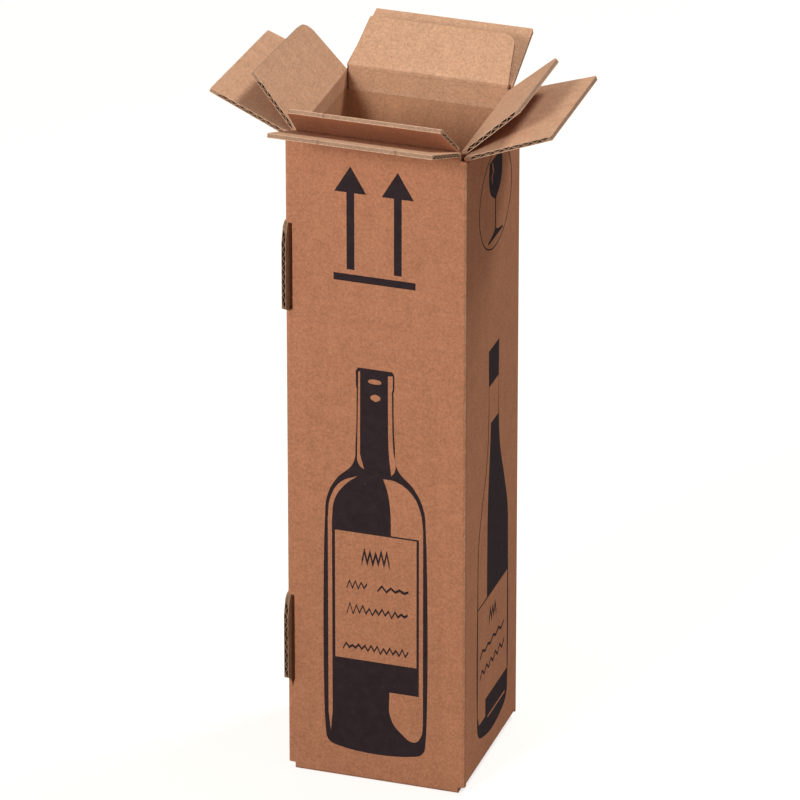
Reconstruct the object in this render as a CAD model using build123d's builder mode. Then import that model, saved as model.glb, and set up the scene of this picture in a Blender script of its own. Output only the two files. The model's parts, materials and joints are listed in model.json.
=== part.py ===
from build123d import *

import os
from math import cos, radians, sin

os.makedirs("parts", exist_ok=True)

# Corrugated board and the clearance between neighbouring pieces
board = 2.9
fit = 0.3
half_board = board / 2

# Flutes between the board's two papers, which run along every fold
paper = 0.4
flute_pitch = 6.3
channel_base = 5.8
channel_tip_radius = 0.5

# Outer carton over its faces
outer_width = 118.0
outer_depth = 111.0
side_base_z = 4.9
side_fold_z = 443.2
layer_ease = 0.2
fold_step = board + layer_ease
front_fold_z = side_fold_z + fold_step
corner_radius = 2.2
base_radius = 2.4
fold_ease = 1.0
flap_gap = 1.2

# Slots between neighbouring flaps, measured in from the carton's corners
front_slot = 4.7
slot_ease = 0.6
side_slot = board + slot_ease

# Liner inside the carton
liner_gap = board + fit
liner_width = outer_width - 2 * liner_gap
liner_depth = outer_depth - 2 * liner_gap
liner_base_z = side_base_z + board + fit
liner_drop = 13.2
liner_front_fold_z = front_fold_z - liner_drop
liner_side_fold_z = liner_front_fold_z + fold_step
liner_slot = board + slot_ease

# Bends of the inner flaps, a little above the carton's own folds
bend_rise = 1.7

# Lugs of the left panel that lock through the front panel
lug_reach = 6.0
lug_root = 9.0
lug_spread = 0.5
lug_height = 61.0
lug_slope = 13.0
lug_tuck = 2.6
lug_foot = 3.5
lug_slot_width = 4.6
lug_slot_margin = 0.8
lug_channel = 5.0
upper_lug_drop = 118.2
lug_bases = (65.0, side_fold_z - upper_lug_drop)
tear_height = 6.0
tear_width = 2.6
tear_offset = 1.4

# Flap lengths from the fold: the carton's close edge to edge over its depth
short_span = min(outer_width, outer_depth)
front_flap_length = (short_span - board - flap_gap) / 2
side_flap_length = min(front_flap_length + fold_step, (outer_width - board - flap_gap) / 2)
liner_front_length = (liner_depth - board - flap_gap) / 2
liner_side_length = (liner_width - board - flap_gap) / 2 - slot_ease

# Half widths of the flaps at their folds
front_half = outer_width / 2 - front_slot
side_half = outer_depth / 2 - side_slot
liner_front_half = liner_width / 2 - liner_slot
liner_side_half = liner_depth / 2 - liner_slot

# Outward and fold directions of the four sides, counter-clockwise from the front
SIDES = {
    "front": (Vector(0, -1, 0), Vector(1, 0, 0)),
    "right": (Vector(1, 0, 0), Vector(0, 1, 0)),
    "back": (Vector(0, 1, 0), Vector(-1, 0, 0)),
    "left": (Vector(-1, 0, 0), Vector(0, -1, 0)),
}

# Outer flaps: angle over the horizontal, then for the free edge's two ends in the fold's
# direction their insets, shortenings and corner radii
OUTER_FLAPS = {
    "front": (21.5, (0.5, 2.0), (0.0, 0.0), (1.2, 1.2)),
    "right": (20.2, (4.5, 4.5), (0.0, 0.0), (1.2, 1.2)),
    "back": (18.0, (2.5, 2.5), (0.0, 0.0), (1.2, 1.2)),
    "left": (23.0, (3.0, 3.0), (4.0, 0.0), (1.2, 1.2)),
}

# Inner flaps in the same way
INNER_FLAPS = {
    "front": (41.5, (3.0, 3.0), (0.0, 0.0), (2.0, 2.0)),
    "right": (42.0, (9.0, 5.0), (0.0, 0.0), (0.0, 6.0)),
    "back": (37.0, (4.0, 5.0), (0.0, 0.0), (8.0, 8.0)),
    "left": (50.0, (4.0, 3.0), (4.0, 0.0), (11.0, 4.0)),
}

# The corner cut off the inner right flap, and small nicks along the front flaps' free edges
cut_along_side = 6.0
cut_along_edge = 15.0
nick = 1.4
nick_places = {"outer_flap_front": (-21.0, 29.0), "inner_flap_front": (-26.0,)}


def fold_point(side, width, depth, height):
    """Middle of a fold line, half a board in from the faces of a width by depth box."""
    out, _ = SIDES[side]
    return Vector(out.X * (width - board) / 2, out.Y * (depth - board) / 2, height)


def sheet_plane(side, angle, point):
    """Plane of a sheet that leaves its fold at an angle over the horizontal."""
    out, along = SIDES[side]
    away = out * cos(radians(angle)) + Vector(0, 0, 1) * sin(radians(angle))
    return Plane(origin=point, x_dir=along, z_dir=along.cross(away))


def is_front_or_back(side):
    return side in ("front", "back")


# One flute channel in section: flat on one paper, with its rounded tip towards the other
with BuildSketch(mode=Mode.PRIVATE) as channel:
    Polygon(
        (-channel_base / 2, half_board - paper),
        (channel_base / 2, half_board - paper),
        (0, 2 * paper - half_board),
        align=None,
    )
    fillet(channel.vertices().sort_by(Axis.Y)[0], channel_tip_radius)


def channel_middles(start, end):
    """Middles of the channels that fit from start to end of a sheet, half a pitch apart."""
    step = flute_pitch / 2
    count = int((end - start - channel_base) / step) + 1
    return [(start + channel_base / 2 + step * place, 0) for place in range(count)]


# Outer carton with its closed bottom flaps, lock slots and lugs
front_top = front_fold_z - half_board - fit
side_top = side_fold_z - half_board - fit
wall_ring = Plane.XY.offset(side_base_z)
front_y = -outer_depth / 2
left_x = -outer_width / 2

with BuildPart() as outer_carton:
    # Wall tube
    with BuildSketch(wall_ring):
        RectangleRounded(outer_width, outer_depth, corner_radius)
    extrude(amount=side_top - side_base_z)

    # Front and back panels reach past the side panels at both ends
    with BuildSketch(Plane.XY):
        Rectangle(2 * front_half, outer_depth)
    extrude(amount=front_top)
    with BuildSketch(Plane.XY.offset(side_base_z)):
        Rectangle(outer_width - 2 * board, outer_depth - 2 * board)
    extrude(amount=front_top, mode=Mode.SUBTRACT)
    with BuildSketch(Plane.XY.offset(side_top)):
        Rectangle(outer_width, outer_depth - 2 * board)
    extrude(amount=front_top, mode=Mode.SUBTRACT)

    # Closed bottom flaps: the side pair inside, the front and back pair outermost
    with BuildSketch(Plane.XY):
        Rectangle(2 * front_half, outer_depth - 2 * board)
    extrude(amount=side_base_z, mode=Mode.SUBTRACT)
    with BuildSketch(Plane.XY):
        Rectangle(2 * front_half, outer_depth)
        Rectangle(2 * front_half, flap_gap, mode=Mode.SUBTRACT)
    extrude(amount=board)
    with BuildSketch(Plane.XY.offset(side_base_z)):
        Rectangle(outer_width, 2 * side_half)
        Rectangle(outer_width - 2 * side_flap_length, 2 * side_half, mode=Mode.SUBTRACT)
    extrude(amount=board)

    # Rounded folds along the bottom and eased edges under the top folds
    bottom_edges = outer_carton.edges().filter_by(Plane.XY)
    long_front = bottom_edges.filter_by(Axis.X).filter_by_position(Axis.Z, -fit, fit)
    fillet(long_front.group_by(Axis.Y)[0] + long_front.group_by(Axis.Y)[-1], base_radius)
    fold_centre = outer_width / 2 - base_radius
    with BuildSketch(Plane.XZ):
        with Locations((fold_centre + base_radius / 2, side_base_z + base_radius / 2)):
            Rectangle(base_radius, base_radius)
        with Locations((-fold_centre - base_radius / 2, side_base_z + base_radius / 2)):
            Rectangle(base_radius, base_radius)
        with Locations((fold_centre, side_base_z + base_radius), (-fold_centre, side_base_z + base_radius)):
            Circle(base_radius, mode=Mode.SUBTRACT)
    extrude(amount=side_half, both=True, mode=Mode.SUBTRACT)
    top_front = outer_carton.edges().filter_by(Axis.X).group_by(Axis.Z)[-1]
    chamfer(top_front.group_by(Axis.Y)[0] + top_front.group_by(Axis.Y)[-1], fold_ease)
    top_side = (
        outer_carton.edges()
        .filter_by(Axis.Y)
        .filter_by_position(Axis.Z, side_top - fit, side_top + fit)
    )
    chamfer(top_side.group_by(Axis.X)[0] + top_side.group_by(Axis.X)[-1], fold_ease)

    # Slots at the front panel's left corner, with a small tear under the lower one
    for base in lug_bases:
        slot_middle = base + lug_height / 2
        slot_height = lug_height - 2 * lug_slot_margin
        with BuildSketch(Plane.XZ.offset(-front_y)):
            with Locations((left_x + lug_slot_width / 2, slot_middle)):
                Rectangle(lug_slot_width, slot_height)
        extrude(amount=-board - fit, mode=Mode.SUBTRACT)
    with BuildSketch(Plane.XZ.offset(-front_y)):
        with BuildLine():
            tear_top = lug_bases[0] + lug_slot_margin
            tear_edge = left_x + lug_slot_width
            Polyline(
                (tear_edge, tear_top),
                (tear_edge - tear_width, tear_top),
                (tear_edge - tear_offset, tear_top - tear_height),
                close=True,
            )
        make_face()
    extrude(amount=-board - fit, mode=Mode.SUBTRACT)

    # Lugs at the left panel's front edge
    for base in lug_bases:
        with BuildSketch(Plane.YZ.offset(left_x - lug_spread)):
            with BuildLine():
                Polyline(
                    (front_y + lug_root, base),
                    (front_y, base),
                    (front_y - lug_reach, base + lug_foot),
                    (front_y - lug_reach, base + lug_height - lug_slope),
                    (front_y - lug_reach / 2, base + lug_height - lug_tuck),
                    (front_y, base + lug_height),
                    (front_y + lug_root, base + lug_height),
                    close=True,
                )
            make_face()
        extrude(amount=board)

    # Flute channels that open on the lugs' cut edges
    for base in lug_bases:
        lug_corner = (left_x - lug_spread + half_board, front_y - lug_reach, 0)
        middles = channel_middles(base + lug_foot, base + lug_height - lug_tuck)
        with BuildSketch(Plane(origin=lug_corner, x_dir=(0, 0, 1), z_dir=(0, 1, 0))):
            with Locations(*middles[::2]):
                add(channel.sketch)
            with Locations(*middles[1::2]):
                add(channel.sketch, rotation=180)
        extrude(amount=lug_channel, mode=Mode.SUBTRACT)
outer_carton.part.label = "outer_carton"
export_step(outer_carton.part, "parts/outer_carton.step")

# Inner liner: a second sheet standing against the carton's walls
liner_front_top = liner_front_fold_z - half_board - fit
liner_side_top = liner_side_fold_z - half_board - fit
liner_side_base_z = liner_base_z + board + fit

with BuildPart() as inner_liner:
    # Wall tube, with the side walls a board higher than the front and back walls
    with BuildSketch(Plane.XY.offset(liner_base_z)):
        RectangleRounded(liner_width, liner_depth, corner_radius)
        Rectangle(liner_width - 2 * board, liner_depth - 2 * board, mode=Mode.SUBTRACT)
    extrude(amount=liner_side_top - liner_base_z)
    with BuildSketch(Plane.XY.offset(liner_front_top)):
        Rectangle(2 * liner_front_half, liner_depth)
        with Locations((0, liner_depth / 2), (0, -liner_depth / 2)):
            Rectangle(liner_width, 2 * liner_slot)
    extrude(amount=fold_step, mode=Mode.SUBTRACT)

    # Closed bottom flaps in two layers
    with BuildSketch(Plane.XY.offset(liner_base_z)):
        Rectangle(2 * liner_front_half, liner_depth - board)
        Rectangle(2 * liner_front_half, flap_gap, mode=Mode.SUBTRACT)
    extrude(amount=board)
    with BuildSketch(Plane.XY.offset(liner_side_base_z)):
        Rectangle(liner_width - board, 2 * liner_side_half)
        Rectangle(flap_gap, 2 * liner_side_half, mode=Mode.SUBTRACT)
    extrude(amount=board)
inner_liner.part.label = "inner_liner"
export_step(inner_liner.part, "parts/inner_liner.step")

# Top sheets by name: plane, half width at the fold, length, and the free edge's ends
square_ends = ((0.0, 0.0), (0.0, 0.0), (0.0, 0.0))
sheets = {}
for side, (angle, *ends) in OUTER_FLAPS.items():
    lengthwise = is_front_or_back(side)
    fold_z = front_fold_z if lengthwise else side_fold_z
    half = front_half if lengthwise else side_half
    length = front_flap_length if lengthwise else side_flap_length
    plane = sheet_plane(side, angle, fold_point(side, outer_width, outer_depth, fold_z))
    sheets[f"outer_flap_{side}"] = (plane, half, length, ends)

# Each inner flap has an upright strip between two creases, then the flap proper
for side, (angle, *ends) in INNER_FLAPS.items():
    lengthwise = is_front_or_back(side)
    fold_z = liner_front_fold_z if lengthwise else liner_side_fold_z
    bend_z = (front_fold_z if lengthwise else side_fold_z) + bend_rise
    half = liner_front_half if lengthwise else liner_side_half
    length = (liner_front_length if lengthwise else liner_side_length) - (bend_z - fold_z)
    upright = sheet_plane(side, 90, fold_point(side, liner_width, liner_depth, fold_z))
    leaning = sheet_plane(side, angle, fold_point(side, liner_width, liner_depth, bend_z))
    strip_length = bend_z - fold_z - half_board - fit
    sheets[f"inner_strip_{side}"] = (upright, half, strip_length, square_ends)
    sheets[f"inner_flap_{side}"] = (leaning, half, length, ends)

# Each sheet is a flat blank with a round root about its fold line and channels along the fold
for name, (plane, half, length, (insets, shorts, radii)) in sheets.items():
    section = Plane(origin=plane.origin, x_dir=plane.y_dir, z_dir=plane.x_dir)
    middles = channel_middles(half_board + paper, length - max(shorts) - paper)
    with BuildPart() as sheet:
        with BuildSketch(plane) as blank:
            with BuildLine():
                Polyline(
                    (-half, 0),
                    (half, 0),
                    (half - insets[1], length - shorts[1]),
                    (insets[0] - half, length - shorts[0]),
                    close=True,
                )
            make_face()
            tips = blank.vertices().filter_by_position(Axis.Y, length / 2, length + fit)
            for tip, radius in zip(tips.sort_by(Axis.X), radii):
                if radius:
                    fillet(tip, radius)
            if name == "inner_flap_right":
                front_side = blank.edges().sort_by(Axis.X)[0]
                chamfer(tips.sort_by(Axis.X)[0], cut_along_side, cut_along_edge, reference=front_side)
            for place in nick_places.get(name, ()):
                with Locations((place, length)):
                    Rectangle(nick, nick, rotation=45, mode=Mode.SUBTRACT)
        extrude(amount=half_board, both=True)
        with BuildSketch(section):
            Circle(half_board)
        extrude(amount=half, both=True)
        with BuildSketch(section):
            with Locations(*middles[::2]):
                add(channel.sketch)
            with Locations(*middles[1::2]):
                add(channel.sketch, rotation=180)
        extrude(amount=2 * half, both=True, mode=Mode.SUBTRACT)
    sheet.part.label = name
    export_step(sheet.part, f"parts/{name}.step")
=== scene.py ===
import json
from math import cos, pi, radians, sin
from random import Random

import bmesh
import bpy
from mathutils import Matrix, Vector


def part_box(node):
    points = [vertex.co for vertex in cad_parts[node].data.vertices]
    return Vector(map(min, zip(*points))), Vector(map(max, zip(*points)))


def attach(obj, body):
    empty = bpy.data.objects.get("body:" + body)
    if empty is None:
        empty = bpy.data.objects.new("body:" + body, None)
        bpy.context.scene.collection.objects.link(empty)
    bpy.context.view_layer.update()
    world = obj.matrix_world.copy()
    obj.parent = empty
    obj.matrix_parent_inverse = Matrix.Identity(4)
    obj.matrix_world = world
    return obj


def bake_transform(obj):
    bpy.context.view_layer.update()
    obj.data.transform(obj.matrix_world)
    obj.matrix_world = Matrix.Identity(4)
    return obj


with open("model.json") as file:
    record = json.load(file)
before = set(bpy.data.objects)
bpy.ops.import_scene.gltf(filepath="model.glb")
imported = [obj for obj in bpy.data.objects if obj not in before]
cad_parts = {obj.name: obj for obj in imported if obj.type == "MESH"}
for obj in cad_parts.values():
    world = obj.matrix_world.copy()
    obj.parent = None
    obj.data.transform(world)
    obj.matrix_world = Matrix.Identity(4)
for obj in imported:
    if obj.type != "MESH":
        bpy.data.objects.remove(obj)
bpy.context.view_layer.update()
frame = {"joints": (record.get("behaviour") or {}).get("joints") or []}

MM = 0.001

# The outer carton is one sheet of corrugated board, brown kraft paper outside and a paler paper
# inside, folded round four walls and closed at the bottom by its flaps. The left wall's two lugs
# are pushed out through slots in the front wall, and the upright folds are rubbed pale.
BOARD = 2.9 * MM
PAPER = 0.4 * MM
HALF_WIDTH = 59.0 * MM
HALF_DEPTH = 55.5 * MM
LUG_MIDDLE_X = -58.05 * MM
OLD_SCORE_Z = 133.5 * MM
KRAFT_ROUGHNESS = 0.9
UPRIGHT_STREAKS = (170, 170, 5)
BROWN = (0.520, 0.228, 0.122, 1)
BROWN_DARK = (0.430, 0.182, 0.096, 1)
TAN = (0.640, 0.375, 0.230, 1)
TAN_DARK = (0.550, 0.305, 0.178, 1)
CUT_EDGE = (0.660, 0.440, 0.300, 1)
CORE = (0.300, 0.170, 0.105, 1)
CORE_PALE = (0.480, 0.300, 0.195, 1)


class Field:
    """A number that varies over a surface, so that plain arithmetic adds the shader's nodes."""

    def __init__(self, paint, socket):
        self.paint = paint
        self.socket = socket

    def maths(self, operation, *terms, clamp=False):
        settings = {"operation": operation, "use_clamp": clamp}
        return Field(self.paint, self.paint.node("ShaderNodeMath", settings, terms).outputs[0])

    def __add__(self, other):
        return self.maths("ADD", self, other)

    def __sub__(self, other):
        return self.maths("SUBTRACT", self, other)

    def __rsub__(self, other):
        return self.maths("SUBTRACT", other, self)

    def __mul__(self, other):
        return self.maths("MULTIPLY", self, other)

    def __abs__(self):
        return self.maths("ABSOLUTE", self)

    __radd__ = __add__
    __rmul__ = __mul__

    def above(self, level, soft):
        """0 under the level and 1 over it, with a soft step of that width between."""
        return self.maths("MULTIPLY_ADD", self, 1 / soft, 0.5 - level / soft, clamp=True)

    def below(self, level, soft):
        return self.maths("MULTIPLY_ADD", self, -1 / soft, 0.5 + level / soft, clamp=True)

    def least(self, other):
        return self.maths("MINIMUM", self, other)

    def most(self, other):
        return self.maths("MAXIMUM", self, other)


class Paint:
    """A material and the nodes that feed its shader."""

    def __init__(self, name, roughness):
        self.material = bpy.data.materials.new(name)
        self.material.use_nodes = True
        self.tree = self.material.node_tree
        self.shader = self.tree.nodes["Principled BSDF"]
        self.shader.inputs["Roughness"].default_value = roughness
        self.shader.inputs["Specular IOR Level"].default_value = 0.2
        self.place = self.node("ShaderNodeTexCoord").outputs["Object"]

    def node(self, kind, settings=(), inputs=()):
        made = self.tree.nodes.new(kind)
        for key, value in dict(settings).items():
            setattr(made, key, value)
        pairs = inputs.items() if isinstance(inputs, dict) else enumerate(inputs)
        for key, value in pairs:
            self.feed(made.inputs[key], value)
        return made

    def feed(self, socket, value):
        if isinstance(value, Field):
            value = value.socket
        if isinstance(value, bpy.types.NodeSocket):
            self.tree.links.new(value, socket)
        else:
            socket.default_value = value

    def along(self, direction, origin=(0, 0, 0)):
        """Metres from the origin along a direction."""
        offset = self.node("ShaderNodeVectorMath", {"operation": "SUBTRACT"}, (self.place, tuple(origin)))
        pair = (offset.outputs[0], tuple(direction))
        dot = self.node("ShaderNodeVectorMath", {"operation": "DOT_PRODUCT"}, pair)
        return Field(self, dot.outputs["Value"])

    def noise(self, size, place=None, detail=2.0, rough=0.5):
        """Cloudy grey from 0 to 1 whose clouds are about so many metres across."""
        sockets = {"Vector": place or self.place, "Scale": 1 / size, "Detail": detail, "Roughness": rough}
        return Field(self, self.node("ShaderNodeTexNoise", {"noise_dimensions": "3D"}, sockets).outputs[0])

    def stretched(self, *scales):
        return self.node("ShaderNodeVectorMath", {"operation": "MULTIPLY"}, (self.place, scales)).outputs[0]

    def mix(self, factor, first, second):
        sockets = {0: factor, 6: first, 7: second}
        return self.node("ShaderNodeMix", {"data_type": "RGBA"}, sockets).outputs[2]

    def shade(self, colour, amount):
        """The colour made lighter or darker by a field that stays around 1."""
        grey = self.node("ShaderNodeCombineXYZ", (), (amount, amount, amount)).outputs[0]
        return self.node("ShaderNodeVectorMath", {"operation": "MULTIPLY"}, (colour, grey)).outputs[0]

    def colour(self, value):
        self.feed(self.shader.inputs["Base Color"], value)

    def bump(self, height, distance):
        made = self.node("ShaderNodeBump", (), {"Height": height, "Distance": distance, "Strength": 1.0})
        self.feed(self.shader.inputs["Normal"], made.outputs[0])


def paper_fibres(paint, streak_place):
    """The swing around 1 of a kraft paper's tone, and its fine relief."""
    grit = paint.noise(0.55 * MM, detail=2.0, rough=0.7)
    flecks = paint.noise(1.6 * MM, detail=3.0, rough=0.6)
    clouds = paint.noise(11 * MM, detail=3.0, rough=0.6)
    wide = paint.noise(60 * MM, detail=1.0)
    streaks = paint.noise(1.0, place=streak_place, detail=2.0)
    swing = 0.08 + grit * 0.55 + flecks * 0.85 + clouds * 0.20 + wide * 0.10 + streaks * 0.14
    return swing, grit + flecks


def through_board(paint, depth, brown, tan):
    """Colours from the brown face through both papers and the core to the pale face."""
    papers = abs(depth).above(BOARD / 2 - PAPER, 0.15 * MM)
    # The core between the papers is painted dark brown: partly the fluting's own colour, partly painted
    # shade in the flute channels.
    cut = paint.mix(papers, paint.mix(paint.noise(1.2 * MM), CORE, CORE_PALE), CUT_EDGE)
    skin = BOARD / 2 - 0.1 * MM
    inside = paint.mix(depth.below(-skin, 0.05 * MM), cut, tan)
    return paint.mix(depth.above(skin, 0.05 * MM), inside, brown)


def dress(node, paint):
    materials = bpy.data.objects[node].data.materials
    materials.clear()
    materials.append(paint.material)


carton = Paint("carton_board", KRAFT_ROUGHNESS)
tone, relief = paper_fibres(carton, carton.stretched(*UPRIGHT_STREAKS))
brown = carton.mix(carton.noise(8 * MM, detail=3.0), BROWN_DARK, BROWN)

side_edge = abs(carton.along((1, 0, 0))) - HALF_WIDTH
front_edge = abs(carton.along((0, 1, 0))) - HALF_DEPTH
near_fold = side_edge.least(front_edge).above(-0.9 * MM, 0.5 * MM)
scuffs = carton.noise(1.9 * MM, place=carton.stretched(1, 1, 0.6), detail=3.0, rough=0.65)
brown = carton.mix(near_fold * (0.25 + scuffs.above(0.5, 0.14) * 0.5), brown, CUT_EDGE)

# Painted shade: a faint, patchy darker line along the old score's shallow groove.
score_shade = abs(carton.along((0, 0, 1)) - OLD_SCORE_Z).below(0.5 * MM, 0.5 * MM)
tone = tone - score_shade * carton.noise(9 * MM).above(0.5, 0.2) * 0.10

lug = carton.along((0, -1, 0)).above(HALF_DEPTH + 0.1 * MM, 0.05 * MM)
lug_depth = carton.along((-1, 0, 0), (LUG_MIDDLE_X, 0, 0))
# Painted shade on the lugs: a darker brown face, the core's colour on their pale face, and the whole
# darkened to about half.
shaded_lug_board = through_board(carton, lug_depth, BROWN_DARK, CORE_PALE)
shaded_lug_board = carton.shade(shaded_lug_board, carton.noise(5 * MM, detail=2.0) * 0.4 + 0.45)
carton.colour(carton.shade(carton.mix(lug, brown, shaded_lug_board), tone))
carton.bump(relief, 0.10 * MM)
dress("outer_carton", carton)

# The liner is a second sheet of the same board, folded the same way round and pushed inside the
# carton, so that its paler paper faces the bottle's space. It is painted darker there than on the
# flaps: painted shade inside the carton.
SHADED_WALL_TAN = (0.560, 0.300, 0.170, 1)
SHADED_WALL_TAN_DARK = (0.480, 0.245, 0.132, 1)
liner = Paint("shaded_liner_board", KRAFT_ROUGHNESS)
tone, relief = paper_fibres(liner, liner.stretched(*UPRIGHT_STREAKS))
# Painted shade: the liner's tan is darker than the tan of its flaps, which are the same board.
liner.colour(liner.shade(liner.mix(liner.noise(8 * MM, detail=3.0), SHADED_WALL_TAN_DARK, SHADED_WALL_TAN), tone))
liner.bump(relief, 0.10 * MM)
dress("inner_liner", liner)

# The top flaps: four of the carton's own and four of the liner's, which bend at a second crease
# over an upright strip. All have the brown paper below and the pale paper above, and the board's
# flutes run along the folds, so that their ends show at each flap's sides.
UP = Vector((0, 0, 1))
SIDES = {
    "front": (Vector((0, -1, 0)), 21.5, 41.5),
    "right": (Vector((1, 0, 0)), 20.2, 42.0),
    "back": (Vector((0, 1, 0)), 18.0, 37.0),
    "left": (Vector((-1, 0, 0)), 23.0, 50.0),
}
joints = {joint["name"]: joint for joint in frame["joints"]}


def fold(name):
    return Vector(joints[name]["pos_m"])


def away_from_fold(out, angle):
    """Direction in which a sheet leaves its fold, at an angle over the horizontal."""
    return out * cos(radians(angle)) + UP * sin(radians(angle))


def brown_side(out, angle):
    return out * sin(radians(angle)) - UP * cos(radians(angle))


def board(name, fold_point, out, angle, next_fold=None):
    """Board that leaves a fold at an angle, its papers whole round that fold and the next."""
    paint = Paint(name, KRAFT_ROUGHNESS)
    away = away_from_fold(out, angle)
    under = brown_side(out, angle)
    depth = paint.along(under, fold_point)
    reach = paint.along(away, fold_point)
    places = (paint.along(away.cross(under), fold_point) * 170, reach * 5, depth * 20)
    streak_place = paint.node("ShaderNodeCombineXYZ", (), places).outputs[0]
    tone, relief = paper_fibres(paint, streak_place)
    clouds = paint.noise(8 * MM, detail=3.0)
    brown = paint.mix(clouds, BROWN_DARK, BROWN)
    tan = paint.mix(clouds, TAN_DARK, TAN)
    folded = reach.below(BOARD / 2, 0.1 * MM)
    if next_fold:
        folded = folded.most(reach.above((next_fold - fold_point).length - BOARD / 2, 0.1 * MM))
    papers = paint.mix(depth.above(0, 0.05 * MM), tan, brown)
    paint.colour(paint.shade(paint.mix(folded, through_board(paint, depth, brown, tan), papers), tone))
    paint.bump(relief, 0.10 * MM)
    return paint


for side, (out, outer_angle, inner_angle) in SIDES.items():
    outer_fold = fold(f"outer_fold_{side}")
    inner_fold = fold(f"inner_fold_{side}")
    bend = fold(f"inner_bend_{side}")
    dress(f"outer_flap_{side}", board(f"outer_flap_{side}_board", outer_fold, out, outer_angle))
    dress(f"inner_strip_{side}", board(f"inner_strip_{side}_board", inner_fold, out, 90, next_fold=bend))
    dress(f"inner_flap_{side}", board(f"inner_flap_{side}_board", bend, out, inner_angle))

# Each crease is paper too: the sheet's own face runs on over the fold. It is pressed and rubbed
# there, so it is a little smoother than the face on either side, and it is painted a little lighter:
# a painted highlight along the fold.
CREASE_PAPER = 0.10 * MM
CREASE_REACH = 1.6 * MM
CREASE_ROUGHNESS = 0.85
CREASE_HIGHLIGHT_TAN = (0.665, 0.398, 0.250, 1)
ARC_STEPS = 6

crease_paper = Paint("crease_paper", CREASE_ROUGHNESS)
tone, relief = paper_fibres(crease_paper, crease_paper.stretched(*UPRIGHT_STREAKS))
crease_clouds = crease_paper.noise(8 * MM, detail=3.0)
# The lighter crease tan is a painted highlight along the bend.
crease_paper.colour(crease_paper.shade(crease_paper.mix(crease_clouds, TAN_DARK, CREASE_HIGHLIGHT_TAN), tone))
crease_paper.bump(relief, 0.10 * MM)


def crease(name, path, along, half_width):
    """A strip of paper over a fold: its path in section, drawn out along the fold."""
    shape = bmesh.new()
    corners = [shape.verts.new(point - along * half_width) for point in path]
    edges = [shape.edges.new(pair) for pair in zip(corners, corners[1:])]
    drawn = bmesh.ops.extrude_edge_only(shape, edges=edges)["geom"]
    far = [item for item in drawn if isinstance(item, bmesh.types.BMVert)]
    bmesh.ops.translate(shape, verts=far, vec=along * 2 * half_width)
    bmesh.ops.solidify(shape, geom=shape.faces[:], thickness=CREASE_PAPER)
    bmesh.ops.recalc_face_normals(shape, faces=shape.faces[:])
    mesh = bpy.data.meshes.new(name)
    shape.to_mesh(mesh)
    shape.free()
    mesh.materials.append(crease_paper.material)
    piece = bpy.data.objects.new(name, mesh)
    bpy.context.scene.collection.objects.link(piece)
    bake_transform(piece)


def pale_path(point, out, first_angle, second_angle):
    """Over the pale side of a fold, from one sheet's face round its root to the next's."""
    radius = BOARD / 2 + CREASE_PAPER / 2
    first = point - brown_side(out, first_angle) * radius - away_from_fold(out, first_angle) * CREASE_REACH
    arc = []
    for step in range(ARC_STEPS + 1):
        angle = first_angle + (second_angle - first_angle) * step / ARC_STEPS
        arc.append(point - brown_side(out, angle) * radius)
    last = point - brown_side(out, second_angle) * radius + away_from_fold(out, second_angle) * CREASE_REACH
    return [first, *arc, last]


for side, (out, outer_angle, inner_angle) in SIDES.items():
    along = out.cross(UP)
    for joint, first_body, second_body, angle in (
        (f"inner_fold_{side}", "carton", f"inner_strip_{side}", 90),
        (f"inner_bend_{side}", f"inner_strip_{side}", f"inner_flap_{side}", inner_angle),
    ):
        low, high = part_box(f"inner_strip_{side}")
        half_width = abs((Vector(high) - Vector(low)).dot(along)) / 2 - 0.4 * MM
        path = pale_path(fold(joint), out, 90, angle)
        crease(f"{joint}_crease", path, along, half_width)

# The printing is dark ink stamped on the kraft: two arrows over a bar for this way up, a bottle
# in outline and shade on the front, a slimmer one on the right, and the sign of a glass. The ink
# lies on the paper in a film, and brown fibres show through it here and there.
INK = (0.022, 0.014, 0.017, 1)
INK_WORN = (0.042, 0.028, 0.030, 1)
FILM = 0.08 * MM
FILM_LIFT = 0.01 * MM
FRONT = (Vector((1, 0, 0)), Vector((0, -HALF_DEPTH, 0)), Vector((0, -1, 0)))
RIGHT = (Vector((0, 1, 0)), Vector((HALF_WIDTH, 0, 0)), Vector((1, 0, 0)))

ink = Paint("printing_ink", 0.9)
ink.shader.inputs["Specular IOR Level"].default_value = 0.08
fibres_through = ink.noise(0.8 * MM, detail=3.0, rough=0.7).above(0.70, 0.06)
worn = ink.mix(ink.noise(6 * MM, detail=2.0), INK, INK_WORN)
ink.colour(ink.mix(fibres_through * 0.6, worn, BROWN_DARK))
ink.bump(ink.noise(0.9 * MM), 0.05 * MM)


def printed(name, face, loops):
    """Ink on a face: a flat curve of closed loops in millimetres, each inside another left open."""
    across, origin, out = face
    curve = bpy.data.curves.new(name, "CURVE")
    curve.dimensions = "2D"
    curve.fill_mode = "BOTH"
    curve.resolution_u = 8
    curve.extrude = FILM / 2
    for loop in loops:
        spline = curve.splines.new("BEZIER")
        spline.bezier_points.add(len(loop) - 1)
        spline.use_cyclic_u = True
        for knot, (x, z, *smooth) in zip(spline.bezier_points, loop):
            knot.co = (x * MM, z * MM, FILM_LIFT + FILM / 2)
            knot.handle_left_type = knot.handle_right_type = "AUTO" if smooth else "VECTOR"
    drawing = bpy.data.objects.new(name, curve)
    bpy.context.scene.collection.objects.link(drawing)
    bpy.context.view_layer.update()
    mesh = bpy.data.meshes.new_from_object(drawing)
    bpy.data.objects.remove(drawing)
    place = Matrix((across, UP, out)).transposed().to_4x4()
    mesh.transform(Matrix.Translation(origin) @ place)
    mesh.materials.clear()
    mesh.materials.append(ink.material)
    piece = bpy.data.objects.new(name, mesh)
    bpy.context.scene.collection.objects.link(piece)
    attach(piece, "carton")


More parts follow.
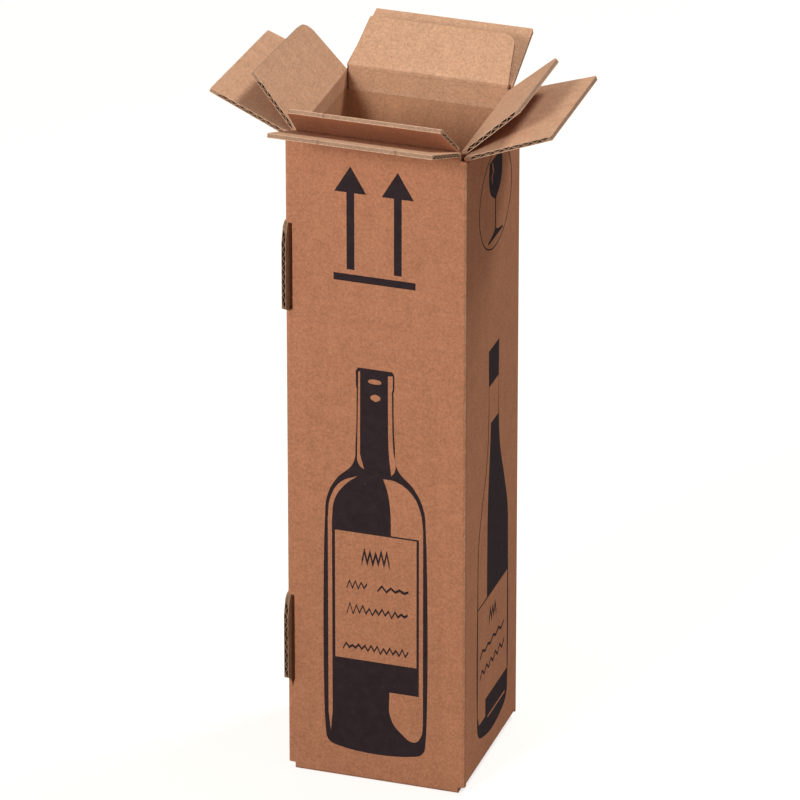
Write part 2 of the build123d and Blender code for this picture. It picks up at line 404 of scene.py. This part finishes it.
def mirrored(profile, middle):
    """A closed loop from its right half, given downwards as distances from the middle."""
    right = [(middle + half, z, *smooth) for half, z, *smooth in profile]
    left = [(middle - half, z, *smooth) for half, z, *smooth in reversed(profile)]
    return right + left


def box_loop(left, right, bottom, top):
    return [(left, bottom), (right, bottom), (right, top), (left, top)]


def scribble(left, right, z, swings, seed, stroke=1.9):
    """A zigzag pen line in millimetres. The stroke is its thickness measured straight up."""
    draw = Random(seed)
    count = len(swings)
    line = []
    for index, swing in enumerate(swings):
        x = left + (right - left) * index / (count - 1)
        line.append((x, z + swing * (1 if index % 2 else -1) * draw.uniform(0.7, 1.0)))
    upper = [(x, height + stroke / 2) for x, height in line]
    lower = [(x, height - stroke / 2) for x, height in reversed(line)]
    return upper + lower


ARROW_MIDDLES = (-16.3, 14.5)
for number, middle in enumerate(ARROW_MIDDLES):
    arrow = mirrored([(0.05, 429.2), (10.4, 411.4), (2.5, 411.4), (2.5, 359.0)], middle)
    printed(f"arrow_{number + 1}", FRONT, [arrow])
printed("arrow_bar", FRONT, [box_loop(-27.4, 26.0, 350.8, 355.7)])

SMOOTH = True
bottle = mirrored(
    [
        (11.2, 292.2),
        (12.6, 289.8),
        (12.6, 280.0),
        (12.0, 277.4),
        (12.9, 240.0, SMOOTH),
        (14.6, 225.0, SMOOTH),
        (25.5, 212.6, SMOOTH),
        (31.6, 200.0, SMOOTH),
        (33.3, 184.0, SMOOTH),
        (33.3, 33.0, SMOOTH),
        (31.4, 25.2, SMOOTH),
        (25.0, 22.0, SMOOTH),
    ],
    -0.4,
)
neck_light_left = [
    (-11.4, 289.5),
    (-10.2, 289.8),
    (-10.4, 232.0),
    (-7.6, 221.6),
    (-11.2, 224.6, SMOOTH),
    (-12.3, 236.0),
]
neck_light_right = [
    (8.0, 289.0),
    (11.2, 289.4),
    (11.2, 280.4),
    (10.6, 277.6),
    (11.5, 238.0, SMOOTH),
    (12.8, 224.0, SMOOTH),
    (10.2, 219.4),
    (8.6, 234.0, SMOOTH),
    (8.0, 262.0),
]
shoulder_light = [
    (-31.9, 184.0),
    (-30.0, 199.0, SMOOTH),
    (-23.0, 210.8, SMOOTH),
    (-12.0, 216.4),
    (-20.8, 208.6, SMOOTH),
    (-27.2, 198.0, SMOOTH),
    (-29.1, 184.0),
    (-29.1, 46.0),
    (-30.4, 31.6),
    (-31.9, 46.0),
]
body_light = [
    (4.8, 216.8),
    (13.0, 216.2, SMOOTH),
    (23.2, 209.6, SMOOTH),
    (29.2, 198.0, SMOOTH),
    (31.2, 184.0),
    (31.2, 46.0),
    (29.8, 37.0, SMOOTH),
    (25.4, 32.4, SMOOTH),
    (17.0, 37.0, SMOOTH),
    (9.8, 47.0, SMOOTH),
    (8.8, 65.8),
    (28.4, 65.8),
    (28.4, 177.4),
    (9.9, 177.4),
    (9.4, 196.0, SMOOTH),
    (7.6, 208.0, SMOOTH),
]
label = box_loop(-27.2, 26.9, 86.0, 176.4)
lip_light = mirrored([(0.1, 285.4, SMOOTH), (4.4, 283.6, SMOOTH), (0.1, 282.0, SMOOTH)], -0.6)
finger_light = mirrored([(0.1, 275.0, SMOOTH), (3.4, 272.6, SMOOTH), (0.1, 270.0, SMOOTH)], -0.2)
strokes = [
    scribble(-9.5, 9.0, 160.0, (6, 5, 5, 4, 5, 4, 5, 5, 5, 6, 5), seed=3, stroke=4.6),
    scribble(-19.5, -6.0, 139.5, (3.5, 2.5, 3, 2.5, 3, 2, 2.5, 1.5), seed=5),
    scribble(1.0, 21.5, 139.0, (2.5, 2, 2.5, 1.5, 1.5, 1, 1, 0.5), seed=8),
    scribble(-19.5, 21.0, 122.0, (5, 4, 4, 3, 3, 4, 3, 2, 3, 2, 2, 3, 2, 2, 3, 2, 2, 1, 1, 1), seed=13),
    scribble(-22.0, 21.5, 95.0, (3, 2, 1, 1, 1, 2, 1, 2, 2, 3, 2, 3, 3, 2, 2, 3, 2, 2, 2, 3, 2, 2), seed=21),
]
lights = [neck_light_left, neck_light_right, shoulder_light, body_light, label, lip_light, finger_light]
printed("front_bottle", FRONT, [bottle, *lights, *strokes])

slim_bottle = mirrored(
    [
        (10.6, 291.6),
        (10.6, 240.0, SMOOTH),
        (14.0, 215.0, SMOOTH),
        (23.5, 188.0, SMOOTH),
        (30.6, 164.0, SMOOTH),
        (31.8, 140.0, SMOOTH),
        (31.8, 40.0, SMOOTH),
        (29.5, 28.0, SMOOTH),
        (22.0, 23.0, SMOOTH),
    ],
    2.3,
)
slim_light = [
    (-7.5, 266.6),
    (12.2, 266.6),
    (12.2, 239.6),
    (-3.2, 239.6),
    (-5.4, 215.0, SMOOTH),
    (-8.8, 184.0, SMOOTH),
    (-9.6, 150.0, SMOOTH),
    (-9.6, 119.4),
    (-28.6, 119.4),
    (-28.6, 140.0, SMOOTH),
    (-27.4, 164.0, SMOOTH),
    (-20.4, 188.0, SMOOTH),
    (-10.9, 215.0, SMOOTH),
    (-7.6, 239.0, SMOOTH),
]
slim_label = [
    (-28.6, 118.4),
    (33.2, 118.4),
    (33.2, 47.0),
    (-12.0, 47.0),
    (-12.0, 34.6),
    (-25.4, 34.6),
    (-28.6, 42.0),
]
foot_light = box_loop(-7.6, 29.0, 31.2, 33.0)
slim_strokes = [
    scribble(-5.0, 10.0, 104.0, (6, 5, 5, 4, 5, 4, 5), seed=4, stroke=4.2),
    scribble(-24.0, 26.0, 84.0, (3, 2, 2, 1, 2, 2, 1, 2, 2, 1), seed=9),
    scribble(-24.0, 27.0, 70.0, (3, 2, 3, 2, 3, 2, 3, 2, 3, 2, 3, 2), seed=15),
]
printed("side_bottle", RIGHT, [slim_bottle, slim_light, slim_label, foot_light, *slim_strokes])

RING_MIDDLE = (3.8, 393.0)
RING_RADIUS = 33.4
RING_STROKE = 0.8
RING_KNOTS = 16


def circle_loop(radius):
    across, up = RING_MIDDLE
    turns = [2 * pi * step / RING_KNOTS for step in range(RING_KNOTS)]
    return [(across + radius * cos(turn), up + radius * sin(turn), SMOOTH) for turn in turns]


glass = mirrored(
    [
        (12.4, 421.0),
        (13.6, 411.0, SMOOTH),
        (10.6, 400.0, SMOOTH),
        (4.2, 394.4, SMOOTH),
        (0.8, 392.4),
        (0.8, 371.6),
        (4.6, 369.8, SMOOTH),
        (14.6, 367.6),
        (14.6, 366.2),
    ],
    RING_MIDDLE[0],
)
crack = [
    (-4.0, 419.5),
    (-2.2, 419.5),
    (0.4, 412.6),
    (-3.0, 409.4),
    (-1.2, 402.6),
    (-5.2, 409.8),
    (-1.8, 413.0),
]
printed("glass_sign", RIGHT, [glass, crack])
printed("glass_ring", RIGHT, [circle_loop(RING_RADIUS), circle_loop(RING_RADIUS - RING_STROKE)])

# The studio: a pale floor that goes white under the lens and keeps the carton's soft shadow, a
# soft lamp in front at the left, another high behind at the right, and an even pale sky.
floor_shape = bmesh.new()
bmesh.ops.create_grid(floor_shape, x_segments=1, y_segments=1, size=9)
floor_mesh = bpy.data.meshes.new("floor")
floor_shape.to_mesh(floor_mesh)
floor_shape.free()
floor = bpy.data.objects.new("floor", floor_mesh)
floor.location.z = -0.2 * MM
bpy.context.scene.collection.objects.link(floor)

floor_paint = Paint("floor_white", 1.0)
floor_paint.colour((0.44, 0.37, 0.31, 1))
rays = floor_paint.node("ShaderNodeLightPath").outputs
seen = Field(floor_paint, rays["Is Camera Ray"]).most(Field(floor_paint, rays["Is Glossy Ray"]))
seen = seen.most(Field(floor_paint, rays["Is Transmission Ray"]))
plain = floor_paint.shader.outputs[0]
glow = floor_paint.node("ShaderNodeEmission", (), ((1, 1, 1, 1), 0.76)).outputs[0]
bright = floor_paint.node("ShaderNodeAddShader", (), (plain, glow)).outputs[0]
chosen = floor_paint.node("ShaderNodeMixShader", (), (seen, plain, bright)).outputs[0]
floor_paint.feed(floor_paint.tree.nodes["Material Output"].inputs["Surface"], chosen)
floor_mesh.materials.append(floor_paint.material)

sky = bpy.data.worlds.new("studio")
bpy.context.scene.world = sky
sky.use_nodes = True
sky.node_tree.nodes["Background"].inputs["Color"].default_value = (1, 1, 1, 1)
sky.node_tree.nodes["Background"].inputs["Strength"].default_value = 0.31


def soft_lamp(name, place, target, size, power):
    data = bpy.data.lights.new(name, "AREA")
    data.shape = "DISK"
    data.size = size
    data.energy = power
    lamp = bpy.data.objects.new(name, data)
    aim = (Vector(target) - Vector(place)).to_track_quat("-Z", "Y").to_matrix().to_4x4()
    lamp.matrix_world = Matrix.Translation(place) @ aim
    bpy.context.scene.collection.objects.link(lamp)


soft_lamp("front_lamp", (-0.5, -1.5, 1.15), (0, 0, 0.35), 0.5, 21)
soft_lamp("back_lamp", (0.75, 0.85, 2.2), (0, 0, 0.4), 0.5, 26)

# The view of the photograph: the lens looks down on the carton from the right of its front.
PICTURE = 800
FOCAL_PIXELS = 8293
eye = Vector((1.4521, -4.4548, 2.5641))
target = Vector((-0.0022, 0.0, 0.2449))
camera_data = bpy.data.cameras.new("camera")
camera_data.sensor_width = 36
camera_data.lens = camera_data.sensor_width * FOCAL_PIXELS / PICTURE
camera_data.clip_end = 60
camera = bpy.data.objects.new("camera", camera_data)
camera.matrix_world = Matrix.Translation(eye) @ (target - eye).to_track_quat("-Z", "Y").to_matrix().to_4x4()
bpy.context.scene.collection.objects.link(camera)
bpy.context.scene.camera = camera
bpy.context.scene.view_settings.view_transform = "Standard"
